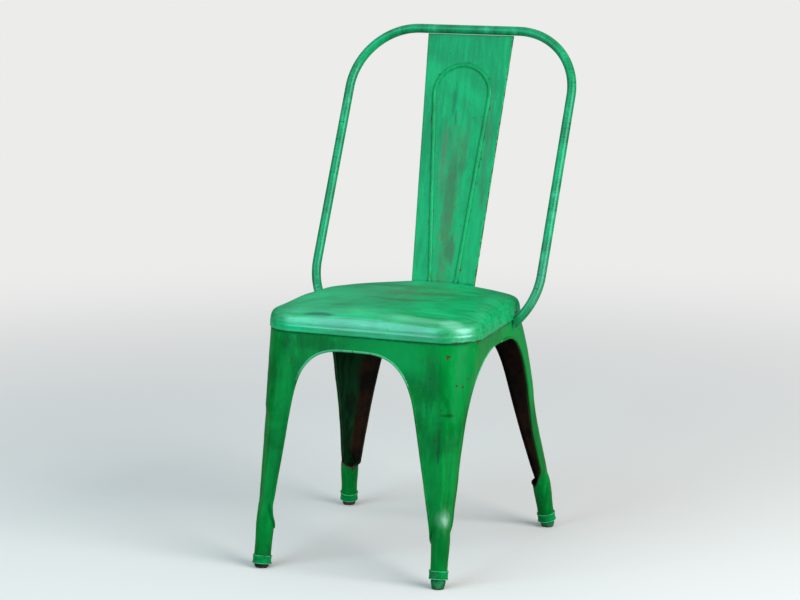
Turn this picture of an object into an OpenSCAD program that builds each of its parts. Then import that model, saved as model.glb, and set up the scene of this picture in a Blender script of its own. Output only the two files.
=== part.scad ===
// Pressed sheet-metal side chair with a bent tube back.
// Millimetres. The chair stands on z = 0, its front faces -Y and +X is to the right
// when it is seen from the front. The origin is under the middle of its box.

/* [Seat] */
// full width of the seat across its front
seat_front_w = 400; // [350:2:450]
// full width of the seat across its back
seat_rear_w = 362; // [320:2:410]
// seat depth, front to back
seat_depth = 371; // [320:1:420]
// height of the seat's lower rim above the floor
rim_z = 413; // [370:1:460]
// rise of the seat from its lower rim to its crown
seat_rise = 44; // [30:1:60]
// height of the straight skirt round the rim
skirt_h = 11; // [6:1:18]
// corner radius at the front
seat_corner_front = 70; // [50:1:85]
// corner radius at the back
seat_corner_rear = 88; // [60:1:100]
// how far the middle of the seat is sunk below the crown
seat_dish = 3; // [0:0.5:6]
// how much lower the crown is near the four corners
corner_drop = 8; // [0:0.5:10]

/* [Sheet] */
// thickness of the pressed sheet
sheet_t = 1.2; // [1:0.1:2]
// depth of the edge turned in round the arches
lip_d = 5; // [4:0.5:8]

/* [Legs] */
// half the spacing of the front feet
foot_front_x = 167; // [145:1:190]
// how far the front feet stand in front of the seat's middle
foot_front_y = 241.5; // [210:0.5:270]
// half the spacing of the rear feet
foot_rear_x = 203; // [180:1:230]
// how far the rear feet stand behind the seat's middle
foot_rear_y = 212; // [185:1:240]
// radius of the closed tube at the bottom of a leg
tube_r = 14.8; // [12:0.1:18]
// height where a front leg closes into its tube
knee_front_z = 92; // [80:1:125]
// height where a rear leg closes into its tube
knee_rear_z = 76; // [60:1:100]
// height of the arches below the seat rim
apron_h = 26; // [18:1:40]
// half width of the front arch, measured where it turns upright
arch_front_x = 121; // [105:1:135]
// half width of the rear arch, measured where it turns upright
arch_rear_x = 132; // [115:1:145]
// front edge of the side arch, forward of the seat's middle
arch_side_front_y = 168; // [150:1:180]
// rear edge of the side arch, behind the seat's middle
arch_side_rear_y = 138; // [120:1:150]
// how far the crown of the front arch sits off the middle
arch_skew = 15; // [0:1:20]
// depth of the flute pressed in the corner of a leg
flute_d = 3.2; // [1:0.1:4]

/* [Collars] */
// radial wall of a collar
collar_wall = 1.5; // [1:0.1:2.5]
// length of a collar along its leg
collar_len = 15; // [11:0.5:20]
// radius of the bead at each end of a collar
collar_bead_r = 0.9; // [0.6:0.1:1.2]

/* [Feet] */
// height of the collar above the floor, front left
foot_fl_h = 6.5; // [5:0.5:12]
// height of the collar above the floor, front right
foot_fr_h = 16; // [8:0.5:20]
// height of the collar above the floor, rear left
foot_rl_h = 11; // [8:0.5:18]
// height of the collar above the floor, rear right
foot_rr_h = 13; // [8:0.5:18]
// radius of a foot where it leaves its collar
foot_top_r = 13; // [10:0.1:13.5]
// radius of a foot near the floor
foot_low_r = 10; // [8:0.1:12]

/* [Back hoop] */
// radius of the bent tube
hoop_r = 8.5; // [7:0.1:10]
// wall of the bent tube
hoop_wall = 1.5; // [1:0.1:2]
// half width of the hoop, to the tube's middle
hoop_half_w = 220.5; // [205:0.5:240]
// height of the top bar above the seat's rim, to the tube's middle
hoop_up = 495; // [430:1:560]
// how far the top bar is behind the seat's back edge
hoop_back = 127.5; // [95:0.5:160]
// lean of the hoop from upright, in degrees
hoop_lean = 25.6; // [20:0.1:28]
// radius of the two upper bends
hoop_bend_r = 122; // [90:1:130]
// radius of the two lower bends
hoop_low_bend_r = 134; // [110:1:160]
// turn of the lower bends towards the seat, in degrees
hoop_low_turn = 48; // [40:1:52]
// drop from the top bar to where a lower bend starts, along the hoop
hoop_side_l = 464; // [380:1:530]

/* [Splat] */
// half width of the splat at its top
splat_top_x = 85.5; // [70:0.5:100]
// half width of the splat at its bottom
splat_low_x = 63; // [50:0.5:75]
// how far the splat's top sits off the middle, to the chair's left-hand side
splat_off = 2.5; // [0:0.5:4]
// how far the splat's plane passes behind the top bar's middle
splat_back = 2.5; // [0:0.5:4]
// half width of the raised bead at the top, to its middle
bead_top_x = 55; // [45:0.5:65]
// half width of the raised bead at the bottom, to its middle
bead_low_x = 26; // [20:0.5:35]
// distance of the bead's arch below the top bar, along the splat
bead_drop = 67; // [50:1:90]
// half width of the raised bead
bead_w = 5; // [3.5:0.1:6]
// height of the bead above the splat's face
bead_h = 2.2; // [1.5:0.1:3]

/* [Hidden] */
$fn = 48;
fit = 0.45;
hw_f = seat_front_w / 2;
hw_r = seat_rear_w / 2;
hd = seat_depth / 2;
// height above which the leg tubes widen towards the knee
tube_flare_z = max(foot_fr_h, foot_rr_h, foot_fl_h, foot_rl_h) + collar_len + 5;
// where the two side aprons meet, behind the seat's middle
seam_y = 5;
seam_gap = 0.1;
// height of the arch crown
crown_z = rim_z - apron_h;
// height where the arches turn upright
spring_z = rim_z - 148;
// top edge of the legs, inside the skirt
leg_top_z = rim_z + skirt_h - 3.5;
// how far the legs stand inside the skirt's outer face
inset = sheet_t + fit;
// lean of the straight tube at the foot of each leg: outward run per unit of height
lean_front = [-0.015, -0.19];
lean_rear = [-0.1, -0.17];
// place of the top bar
hoop_top_z = rim_z + hoop_up;
hoop_top_y = hd + hoop_back;
// taper of the seat's sides
side_taper = (hw_f - hw_r) / (2 * hd - seat_corner_front - seat_corner_rear);
// moves the seat's middle so that the origin is under the middle of the box
front_reach = foot_front_y + lean_front[1] * min(foot_fl_h, foot_fr_h)
    + 0.98 * (tube_r + collar_wall + collar_bead_r);
shift_y = (front_reach - hoop_top_y - hoop_r) / 2;

function clamp01(t) = min(max(t, 0), 1);
function mix(a, b, t) = a + (b - a) * t;
function ease(t) = clamp01(t) * clamp01(t) * (3 - 2 * clamp01(t));
function unit(v) = v / norm(v);

// ---- seat outline: a four-cornered loop inset by e, seen from above, anticlockwise
ARC = 12;
function corner_pts(cx, cy, r, a0) = [
    for (i = [0:ARC]) [cx + r * cos(a0 + 90 * i / ARC), cy + r * sin(a0 + 90 * i / ARC)]
];
function outline(e) =
    let(
        rf = max(seat_corner_front - e, 14),
        rr = max(seat_corner_rear - e, 14),
        wf = hw_f - e,
        wr = hw_r - e,
        d = hd - e
    )
    concat(
        corner_pts(wf - rf, -d + rf, rf, -90),
        corner_pts(wr - rr, d - rr, rr, 0),
        corner_pts(-wr + rr, d - rr, rr, 90),
        corner_pts(-wf + rf, -d + rf, rf, 180)
    );
// 1 at the middle of a corner, 0 where it meets the straight edges
function cornerness(k) = sin(180 * (k % (ARC + 1)) / ARC);
function drop_at(e) = corner_drop * ease(e / 18) * (1 - ease((e - 30) / 70));

// seat section: [inset, height above the rim]
roll = 27;
crown_profile = concat(
    [[0, 0], [0, skirt_h - 1.5], [0.5, skirt_h]],
    [for (a = [15:15:75]) [0.5 + roll * (1 - cos(a)), skirt_h + (seat_rise - 3 - skirt_h) * sin(a)]],
    [[roll + 2, seat_rise - 2.4], [roll + 14, seat_rise - 0.8], [roll + 30, seat_rise]],
    [for (i = [1:4]) [roll + 30 + i * 26, seat_rise - seat_dish * ease(i / 4)]]
);
// the sheet's inner face: the same section moved in and down by the sheet's thickness
function inner_of(p) = [p[0] + sheet_t, p[1] < 0.01 ? 0 : p[1] - sheet_t * clamp01(p[1] / seat_rise * 1.4)];
inner_profile = [for (p = crown_profile) inner_of(p)];

function ring_pts(p) = [
    let(o = outline(p[0]))
    for (k = [0:len(o) - 1])
        [o[k][0], o[k][1], rim_z + p[1] - cornerness(k) * drop_at(p[0])]
];

module seat_pan() {
    n = 4 * (ARC + 1);
    rows = len(crown_profile);
    outer = [for (p = crown_profile) each ring_pts(p)];
    inner = [for (p = inner_profile) each ring_pts(p)];
    m = rows * n;
    faces = concat(
        [for (i = [0:rows - 2]) for (k = [0:n - 1])
            each quad_faces(i * n + k, i * n + (k + 1) % n, (i + 1) * n + (k + 1) % n, (i + 1) * n + k)],
        [for (i = [0:rows - 2]) for (k = [0:n - 1])
            each quad_faces(m + i * n + (k + 1) % n, m + i * n + k, m + (i + 1) * n + k,
                m + (i + 1) * n + (k + 1) % n)],
        [for (k = [0:n - 1]) each quad_faces((k + 1) % n, k, m + k, m + (k + 1) % n)],
        [[for (k = [n - 1:-1:0]) (rows - 1) * n + k]],
        [[for (k = [0:n - 1]) m + (rows - 1) * n + k]]
    );
    color([0, 0.55, 0.28])
    translate([0, shift_y, 0])
    polyhedron(points = concat(outer, inner), faces = faces, convexity = 8);
}

// two triangles for the quad a b c d, given anticlockwise from outside
function quad_faces(a, b, c, d) = [[c, b, a], [d, c, a]];

// ---- legs, in their own quarter: u runs out sideways, v out to the front or the back
// a leg is a list: [foot u, foot v, lean, knee z, top u, top v, top corner radius,
//   arch edge u, arch edge v, seam u, seam v, arch power u, arch power v, taper, skew, bottom z]
function leg_line(foot, lean, z) = foot + tube_r + lean * z;
function leg_face(foot, lean, knee, top, z) =
    let(s = clamp01((z - knee) / (rim_z - knee)))
    leg_line(foot, lean, z) + (top - leg_line(foot, lean, rim_z)) * pow(s, 1.7)
    - max(z - rim_z, 0) * lean;
function face_u(L, z) = leg_face(L[0], L[2][0], L[3], L[4], z);
function face_v(L, z) = leg_face(L[1], L[2][1], L[3], L[5], z);
function radius_at(L, z) =
    let(s = clamp01((z - L[3]) / (rim_z - L[3])))
    mix(tube_r, L[6], s * s);

// arch edges: from the crown at the seam down to the tube's inner side at the knee
function arch_g(z, power) =
    z <= spring_z ? 1 :
    pow(max(1 - pow(clamp01((z - spring_z) / (crown_z - spring_z)), power), 0), 1 / power);
function edge_line(L, face_k, edge_s, z) = mix(face_k, edge_s, (z - L[3]) / (spring_z - L[3]));
function edge_u(L, z) =
    let(k = face_u(L, L[3]) - 2 * tube_r)
    edge_line(L, k, L[7], z) * arch_g(z, L[11]) + L[14] * clamp01((z - L[3]) / (crown_z - L[3]));
function edge_v(L, z) =
    let(k = face_v(L, L[3]) - 2 * tube_r)
    L[10] + (edge_line(L, k, L[8], z) - L[10]) * arch_g(z, L[12]);

// rows down a leg: [corner z, front or rear edge u, its z, side edge v, its z]
ARCH_ROWS = 13;
LEG_ROWS = 7;
KNEE_ROWS = 8;
function arch_z(i, power) = spring_z + (crown_z - spring_z) * pow(cos(90 * i / ARCH_ROWS), 2 / power);
function leg_rows(L) = concat(
    [for (z = [leg_top_z, rim_z - 0.5]) [z, L[9], z, L[10], z]],
    [for (z = [mix(rim_z, crown_z, 0.5)]) [z - 7, L[9], z, L[10], z]],
    [for (i = [0:ARCH_ROWS])
        let(
            zu = arch_z(i, L[11]),
            zv = arch_z(i, L[12])
        )
        [mix(crown_z - 14, spring_z, i / ARCH_ROWS),
            i == 0 ? L[9] : edge_u(L, zu), zu,
            i == 0 ? L[10] : edge_v(L, zv), zv]],
    [for (i = [1:LEG_ROWS])
        let(z = mix(spring_z, L[3] + 26, i / LEG_ROWS))
        [z, edge_u(L, z), z, edge_v(L, z), z]],
    [for (i = [1:KNEE_ROWS])
        let(z = mix(L[3] + 26, L[3] - 12, i / KNEE_ROWS))
        [z, edge_u(L, max(z, L[3])), z, edge_v(L, max(z, L[3])), z]],
    [for (z = [(L[3] - 12 + tube_flare_z) / 2, tube_flare_z, L[15]]) [z, 0, z, 0, z]]
);

// places across the sheet: -1 at the front or rear edge, 0 on the corner, 1 at the side edge
FLAT = 6;
BEND = 8;
places = concat(
    [for (i = [0:FLAT - 1]) mix(-1, -0.45, i / FLAT)],
    [for (i = [0:BEND]) mix(-0.45, 0.45, i / BEND)],
    [for (i = [1:FLAT]) mix(0.45, 1, i / FLAT)]
);
// how far along the flute a height is, 0 to 1 and back to 0
function flute_at(L, z) =
    ease((L[3] + 186 - z) / 12) * ease((z - L[3] - 4) / 26);
// a point on the open channel, in by t from its outer face
function channel_pt(L, row, s, t) =
    let(
        z = s < 0 ? mix(row[0], row[2], -s) : mix(row[0], row[4], s),
        fu = face_u(L, z),
        fv = face_v(L, z),
        r = max(min(radius_at(L, z), fu - row[1] - 3, fv - row[3] - 3), tube_r * 0.7),
        a = 90 * (0.5 - s / 0.9),
        cu = fu - r,
        cv = fv - r,
        sunk = flute_d * flute_at(L, z) * pow(max(cos((a - 45) * 2.3), 0), 1.2),
        slope = L[13] * ease((z - spring_z) / (rim_z - spring_z))
    )
    s <= -0.4501 ? [mix(row[1], cu, (s + 1) / 0.55), fv - t, z] :
    s >= 0.4501 ? let(v = mix(cv, row[3], (s - 0.45) / 0.55)) [fu - t + slope * (cv - v), v, z] :
    [cu + (r - t - sunk) * cos(a), cv + (r - t - sunk) * sin(a), z];
// a point on the closed tube, in by t from its outer face
function tube_pt(L, row, s, t) =
    let(
        z = row[0],
        axis = unit([L[2][0], L[2][1], 1]),
        c = [leg_line(L[0], L[2][0], z) - tube_r, leg_line(L[1], L[2][1], z) - tube_r, z],
        e1 = unit([1, 0, 0] - axis * axis[0]),
        e2 = cross(axis, e1),
        a = 45 - s * 178
    )
    c + (tube_r + 1.8 * ease((z - tube_flare_z) / (L[3] - tube_flare_z)) - t) * (cos(a) * e1 + sin(a) * e2);
function skin_pt(L, row, s, t) =
    let(b = ease((row[0] - L[3] + 12) / 36))
    b <= 0 ? tube_pt(L, row, s, t) :
    b >= 1 ? channel_pt(L, row, s, t) :
    mix(tube_pt(L, row, s, t), channel_pt(L, row, s, t), b);
// the turned-in edge: where it ends, on the sheet's outer face
function lip_at(L, row) = mix(sheet_t + 0.4, lip_d, ease((row[0] - L[3] - 4) / 30));
function lip_pt(L, row, side, t) =
    let(
        s = side,
        d = lip_at(L, row),
        b = ease((row[0] - L[3] + 12) / 36),
        base = channel_pt(L, row, s, 0),
        open = side < 0 ? base + [t, -d, 0] : base + [-d, t, 0],
        closed = tube_pt(L, row, s * (1 - t / tube_r / 3.1), d)
    )
    b <= 0 ? closed : b >= 1 ? open : mix(closed, open, b);
function edge_in_pt(L, row, side, t) =
    let(
        s = side,
        b = ease((row[0] - L[3] + 12) / 36),
        base = channel_pt(L, row, s, 0),
        open = side < 0 ? base + [t, -t, 0] : base + [-t, t, 0],
        closed = tube_pt(L, row, s * (1 - t / tube_r / 3.1), t)
    )
    b <= 0 ? closed : b >= 1 ? open : mix(closed, open, b);
// one closed loop round the sheet at a row
function row_loop(L, row) =
    let(last = len(places) - 1)
    concat(
        [lip_pt(L, row, -1, 0)],
        [for (s = places) skin_pt(L, row, s, 0)],
        [lip_pt(L, row, 1, 0), lip_pt(L, row, 1, sheet_t), edge_in_pt(L, row, 1, sheet_t)],
        [for (k = [last - 1:-1:1]) skin_pt(L, row, places[k], sheet_t)],
        [edge_in_pt(L, row, -1, sheet_t), lip_pt(L, row, -1, sheet_t)]
    );

module leg(L, sx, sy) {
    rows = leg_rows(L);
    loops = [for (row = rows) row_loop(L, row)];
    n = len(loops[0]);
    m = len(rows);
    pts = [for (loop = loops) for (p = loop) [sx * p[0], sy * p[1], p[2]]];
    // the sheet's two faces are joined pair by pair at both ends of the leg
    half = len(places) + 2;
    wall = [for (i = [0:m - 2]) for (k = [0:n - 1])
        each quad_faces(i * n + (k + 1) % n, i * n + k, (i + 1) * n + k, (i + 1) * n + (k + 1) % n)];
    top = [for (k = [0:half - 2]) each quad_faces(k, k + 1, n - 2 - k, n - 1 - k)];
    low = [for (k = [0:half - 2]) each quad_faces(k + 1, k, n - 1 - k, n - 2 - k)];
    all_faces = concat(wall, top, [for (f = low) [for (k = f) k + (m - 1) * n]]);
    flip = sx * sy < 0;
    color([0, 0.52, 0.25])
    translate([0, shift_y, 0])
    polyhedron(
        points = pts,
        faces = flip ? all_faces : [for (f = all_faces) [f[2], f[1], f[0]]],
        convexity = 10
    );
}

function front_leg(side, bottom) = [
    foot_front_x, foot_front_y, lean_front, knee_front_z, hw_f - inset, hd - inset,
    seat_corner_front - inset, arch_front_x, arch_side_front_y,
    -side * arch_skew + seam_gap, -seam_y + seam_gap, 3.3, 2.6, -side_taper, -side * arch_skew, bottom
];
function rear_leg(bottom) = [
    foot_rear_x, foot_rear_y, lean_rear, knee_rear_z, hw_r - inset, hd - inset,
    seat_corner_rear - inset, arch_rear_x, arch_side_rear_y,
    seam_gap, seam_y + seam_gap, 3.3, 3.3, side_taper, 0, bottom
];

module leg_front_left() leg(front_leg(-1, foot_fl_h + 1), -1, -1);
module leg_front_right() leg(front_leg(1, foot_fr_h + 1), 1, -1);
module leg_rear_left() leg(rear_leg(foot_rl_h + 1), -1, 1);
module leg_rear_right() leg(rear_leg(foot_rr_h + 1), 1, 1);

// puts its children on a leg's axis, at height z, with +Z up along the leg
module on_leg(foot, lean, sx, sy, z) {
    lx = sx * lean[0];
    ly = sy * lean[1];
    flat = sqrt(lx * lx + ly * ly);
    translate([sx * foot[0] + lx * z, sy * foot[1] + ly * z + shift_y, z])
    rotate([0, atan(flat), atan2(ly, lx)])
    children();
}

// ---- collars: a plain band with a bead at each end
module collar() {
    inner = tube_r + 0.15;
    outer = tube_r + collar_wall;
    color([0, 0.45, 0.24])
    rotate_extrude()
    union() {
        translate([inner, 0])
        square([outer - inner, collar_len]);
        translate([outer, collar_bead_r])
        circle(r = collar_bead_r, $fn = 24);
        translate([outer, collar_len - collar_bead_r])
        circle(r = collar_bead_r, $fn = 24);
    }
}
FRONT = [foot_front_x, foot_front_y];
REAR = [foot_rear_x, foot_rear_y];
module collar_front_left() on_leg(FRONT, lean_front, -1, -1, foot_fl_h) collar();
module collar_front_right() on_leg(FRONT, lean_front, 1, -1, foot_fr_h) collar();
module collar_rear_left() on_leg(REAR, lean_rear, -1, 1, foot_rl_h) collar();
module collar_rear_right() on_leg(REAR, lean_rear, 1, 1, foot_rr_h) collar();

// ---- feet: a plug in the tube, a short neck and a tapered head worn flat on the floor
module foot(foot_at, lean, sx, sy, h) {
    stub_r = tube_r - sheet_t - 0.7;
    color([0.25, 0.3, 0.27])
    difference() {
        on_leg(foot_at, lean, sx, sy, h)
        rotate([0, 0, 45])
        union() {
            cylinder(r = stub_r, h = 12);
            translate([0, 0, -1.5])
            cylinder(r = stub_r - 0.6, h = 2);
            translate([0, 0, -1.5 - h - 6])
            cylinder(r1 = foot_low_r, r2 = foot_top_r, h = h + 6);
        }
        translate([-400, -500, -60])
        cube([800, 1000, 60]);
    }
}
module foot_front_left() foot(FRONT, lean_front, -1, -1, foot_fl_h);
module foot_front_right() foot(FRONT, lean_front, 1, -1, foot_fr_h);
module foot_rear_left() foot(REAR, lean_rear, -1, 1, foot_rl_h);
module foot_rear_right() foot(REAR, lean_rear, 1, 1, foot_rr_h);

// ---- back hoop: one bent tube, its ends cut to lie against the sides of the seat
// one side of the bent bar, flat, with the middle of its top bar at the origin
module hoop_side(r) {
    translate([hoop_half_w - hoop_bend_r, -hoop_bend_r, 0])
    rotate_extrude(angle = 90)
    translate([hoop_bend_r, 0])
    circle(r = r);
    translate([hoop_half_w, -hoop_bend_r, 0])
    rotate([90, 0, 0])
    cylinder(r = r, h = hoop_side_l - hoop_bend_r);
    translate([hoop_half_w - hoop_low_bend_r, -hoop_side_l, 0])
    mirror([0, 1, 0])
    rotate_extrude(angle = hoop_low_turn)
    translate([hoop_low_bend_r, 0])
    circle(r = r);
}
module hoop_bar(r) {
    top_l = hoop_half_w - hoop_bend_r;
    translate([0, hoop_top_y + shift_y, hoop_top_z])
    rotate([90 - hoop_lean, 0, 0])
    union() {
        translate([-top_l, 0, 0])
        rotate([0, 90, 0])
        cylinder(r = r, h = 2 * top_l);
        hoop_side(r);
        mirror([1, 0, 0])
        hoop_side(r);
    }
}
module back_hoop() {
    taper_a = atan(side_taper);
    // the legs' sides stand out more below the rim where the seat tapers more
    cut_lean = atan(0.293558 * side_taper);
    color([0, 0.5, 0.26])
    difference() {
        hoop_bar(hoop_r);
        hoop_bar(hoop_r - hoop_wall);
        for (s = [0, 1])
            mirror([s, 0, 0])
            translate([hw_f + 0.15, -hd + seat_corner_front + shift_y, rim_z + skirt_h])
            rotate([0, -cut_lean, taper_a])
            translate([-250, -100, -110])
            cube([250, 400, 140]);
    }
}

// ---- splat: a flat pressed panel with a raised bead, turned down behind the seat
splat_low_z = rim_z + skirt_h + 26;
splat_y0 = hd + 0.15;
splat_turn = atan(splat_off / 450);
splat_run = hoop_top_y + splat_back - splat_y0;
splat_rise = hoop_top_z - splat_low_z;
splat_lean = atan(splat_run / splat_rise);
splat_mid_l = splat_rise / cos(splat_lean) - (splat_back + sheet_t) * sin(splat_lean);
splat_l = splat_mid_l - hoop_r - 0.15;
bead_arch_y = splat_mid_l - bead_drop - bead_top_x;
bead_tilt = atan((bead_top_x - bead_low_x) / bead_arch_y);
// one edge of the bead's upside-down U, a distance e outside its middle line
function bead_edge(e) = concat(
    [[bead_low_x + e, 4]],
    [for (i = [0:24])
        let (a = -bead_tilt + (180 + 2 * bead_tilt) * i / 24)
        (bead_top_x + e) * [cos(a), sin(a)] + [0, bead_arch_y]],
    [[-bead_low_x - e, 4]]
);
function backwards(list) = [for (i = [len(list) - 1:-1:0]) list[i]];
module splat_bead(half, top) {
    translate([0, 0, sheet_t - 0.4])
    linear_extrude(height = 0.4 + top)
    polygon(concat(bead_edge(half), backwards(bead_edge(-half))));
}
module back_splat() {
    color([0, 0.55, 0.28])
    translate([0, shift_y, 0])
    union() {
        translate([0, splat_y0 + sheet_t, splat_low_z])
        rotate([90 - splat_lean, 0, 0])
        union() {
            linear_extrude(height = sheet_t)
            polygon([
                [-splat_low_x, -1], [splat_low_x, -1],
                [splat_top_x + splat_off, splat_l], [splat_off - splat_top_x, splat_l]
            ]);
            rotate([0, 0, -splat_turn])
            splat_bead(bead_w, bead_h * 0.55);
            rotate([0, 0, -splat_turn])
            splat_bead(bead_w * 0.6, bead_h);
        }
        translate([0.6 - splat_low_x, splat_y0, rim_z + 1])
        cube([2 * splat_low_x - 1.2, sheet_t, splat_low_z - rim_z - 0.5]);
    }
}

seat_pan();
leg_front_left();
leg_front_right();
leg_rear_left();
leg_rear_right();
collar_front_left();
collar_front_right();
collar_rear_left();
collar_rear_right();
foot_front_left();
foot_front_right();
foot_rear_left();
foot_rear_right();
back_hoop();
back_splat();
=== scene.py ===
import bmesh
import bpy
import math
from mathutils import Matrix, Vector, noise


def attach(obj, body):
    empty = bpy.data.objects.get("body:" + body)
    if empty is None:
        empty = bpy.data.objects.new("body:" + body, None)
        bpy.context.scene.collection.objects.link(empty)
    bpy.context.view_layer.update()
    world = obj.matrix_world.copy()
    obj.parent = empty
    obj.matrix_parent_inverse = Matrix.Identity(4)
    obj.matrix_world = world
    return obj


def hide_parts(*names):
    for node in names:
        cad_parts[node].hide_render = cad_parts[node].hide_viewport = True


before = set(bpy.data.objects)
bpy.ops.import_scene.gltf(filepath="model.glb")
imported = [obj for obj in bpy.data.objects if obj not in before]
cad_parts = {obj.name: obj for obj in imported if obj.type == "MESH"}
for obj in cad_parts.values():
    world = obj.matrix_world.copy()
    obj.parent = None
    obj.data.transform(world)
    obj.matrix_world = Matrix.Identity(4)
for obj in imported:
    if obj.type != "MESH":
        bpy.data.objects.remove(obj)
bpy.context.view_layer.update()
print("frame loaded")

mm = 0.001
shiftY = -32.19  # the seat's middle, in millimetres along Y


# ---------- numbers
def clamp(t, low=0.0, high=1.0):
    return min(max(t, low), high)


def mix(a, b, t):
    return a + (b - a) * t


def ease(t):
    t = clamp(t)
    return t * t * (3 - 2 * t)


def between(a, b, steps):
    return [mix(a, b, i / steps) for i in range(steps + 1)]


def hill(*away):
    # 1 where every number given is 0, falling off like a bell
    return math.exp(-sum(a ** 2 for a in away))


def wander(x, y, z, size, seed=0.0):
    # smooth noise about 0, its bumps about size millimetres across
    return noise.noise(Vector((x / size + seed, y / size - seed * 0.7, z / size + seed * 0.3)))


# ---------- shader wiring
class Wire:
    # a node's output that can be used in plain arithmetic
    def __init__(self, board, socket):
        self.board = board
        self.socket = socket

    def __add__(self, other):
        return self.board.maths("ADD", self, other)

    def __sub__(self, other):
        return self.board.maths("SUBTRACT", self, other)

    def __rsub__(self, other):
        return self.board.maths("SUBTRACT", other, self)

    def __mul__(self, other):
        return self.board.maths("MULTIPLY", self, other)

    __radd__ = __add__
    __rmul__ = __mul__


class Board:
    # one node tree, and the few ways that this chair's finishes use it
    def __init__(self, tree):
        self.tree = tree

    def node(self, kind, settings=None, inputs=None, out=0):
        made = self.tree.nodes.new(kind)
        for key, value in (settings or {}).items():
            if key == "stops":
                ramp = made.color_ramp
                while len(ramp.elements) < len(value):
                    ramp.elements.new(0.5)
                for stop, (place, colour) in zip(ramp.elements, value):
                    stop.position = place
                    stop.color = colour
            else:
                setattr(made, key, value)
        self.feed(made, inputs or {})
        return Wire(self, made.outputs[out])

    def feed(self, node, inputs):
        # gives a node's inputs their values or their links
        for key, value in inputs.items():
            if isinstance(value, Wire):
                self.tree.links.new(value.socket, node.inputs[key])
            else:
                node.inputs[key].default_value = value

    def vector(self, operation, inputs, out=0):
        return self.node("ShaderNodeVectorMath", {"operation": operation}, inputs, out)

    def bump(self, height, deepest):
        return self.node("ShaderNodeBump", None, {"Height": height, "Strength": 1.0, "Distance": deepest})

    def maths(self, operation, a, b=0.0):
        return self.node("ShaderNodeMath", {"operation": operation}, {0: a, 1: b})

    def smaller(self, a, b):
        return self.maths("MINIMUM", a, b)

    def larger(self, a, b):
        return self.maths("MAXIMUM", a, b)

    def step(self, value, low, high):
        # 0 below low, 1 above high, smooth between
        return self.node("ShaderNodeMapRange", {"interpolation_type": "SMOOTHSTEP"},
                         {"Value": value, "From Min": low, "From Max": high})

    def colour(self, amount, a, b):
        return self.node("ShaderNodeMix", {"data_type": "RGBA"}, {0: amount, 6: a, 7: b}, 2)

    def place(self):
        return self.node("ShaderNodeTexCoord", out=3)

    def axis(self, vector, name):
        return self.node("ShaderNodeSeparateXYZ", None, {0: vector}, name)

    def stretched(self, vector, scale, offset=(0.0, 0.0, 0.0)):
        return self.node("ShaderNodeMapping", None, {"Vector": vector, "Scale": scale, "Location": offset})

    def cloud(self, vector, scale, detail=3.0, rough=0.5, warp=0.0):
        return self.node("ShaderNodeTexNoise", None,
                         {"Vector": vector, "Scale": scale, "Detail": detail,
                          "Roughness": rough, "Distortion": warp})

    def painted(self, name):
        # a number stored on the piece's own points
        return self.node("ShaderNodeAttribute", {"attribute_name": name}, None, 2)

    def spot(self, vector, middle, size, ragged=None, reach=0.35):
        # 1 at a place on the chair, fading out at size; all in metres
        gap = self.vector("SUBTRACT", {0: vector, 1: middle})
        far = self.vector("LENGTH", {0: self.vector("DIVIDE", {0: gap, 1: size})}, 1)
        if ragged is not None:
            far = far + (ragged - 0.5) * 2.4
        return 1 - self.step(far, 1 - reach, 1 + reach)


def rgb(r, g, b):
    # a colour given as it looks on screen, 0 to 255
    def one(c):
        c = c / 255
        return c / 12.92 if c <= 0.04045 else ((c + 0.055) / 1.055) ** 2.4
    return (one(r), one(g), one(b), 1.0)


def newMaterial(name):
    material = bpy.data.materials.new(name)
    material.use_nodes = True
    return material, Board(material.node_tree), material.node_tree.nodes["Principled BSDF"]


def linked(name, data):
    made = bpy.data.objects.new(name, data)
    bpy.context.collection.objects.link(made)
    return made


# ---------- worn green paint
paintLook = {
    "deep": rgb(0, 108, 44),
    "rubbed": rgb(68, 122, 74),
    "brown": rgb(84, 78, 50),
    "scuff": rgb(104, 104, 70),
    "rust": rgb(86, 52, 34),
    "darkRust": rgb(44, 26, 16),
    "grime": rgb(14, 38, 22),
    "chalk": rgb(96, 198, 148),
    "olive": rgb(60, 104, 56),
    "faded": rgb(150, 214, 186),
    "insideDark": rgb(30, 20, 12),
    "insideRust": rgb(58, 33, 20),
    "sprayDark": rgb(6, 40, 16),
    "sprayGreen": rgb(14, 72, 34),
    "sheen": (0.34, 0.80, 1.0, 1.0),
    "shineTint": (0.75, 1.0, 1.0, 1.0),
    "shineRough": 0.38,
    "shineIor": 2.0,
    "deepest": 0.001,  # metres that the paint's relief stands out
}


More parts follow.
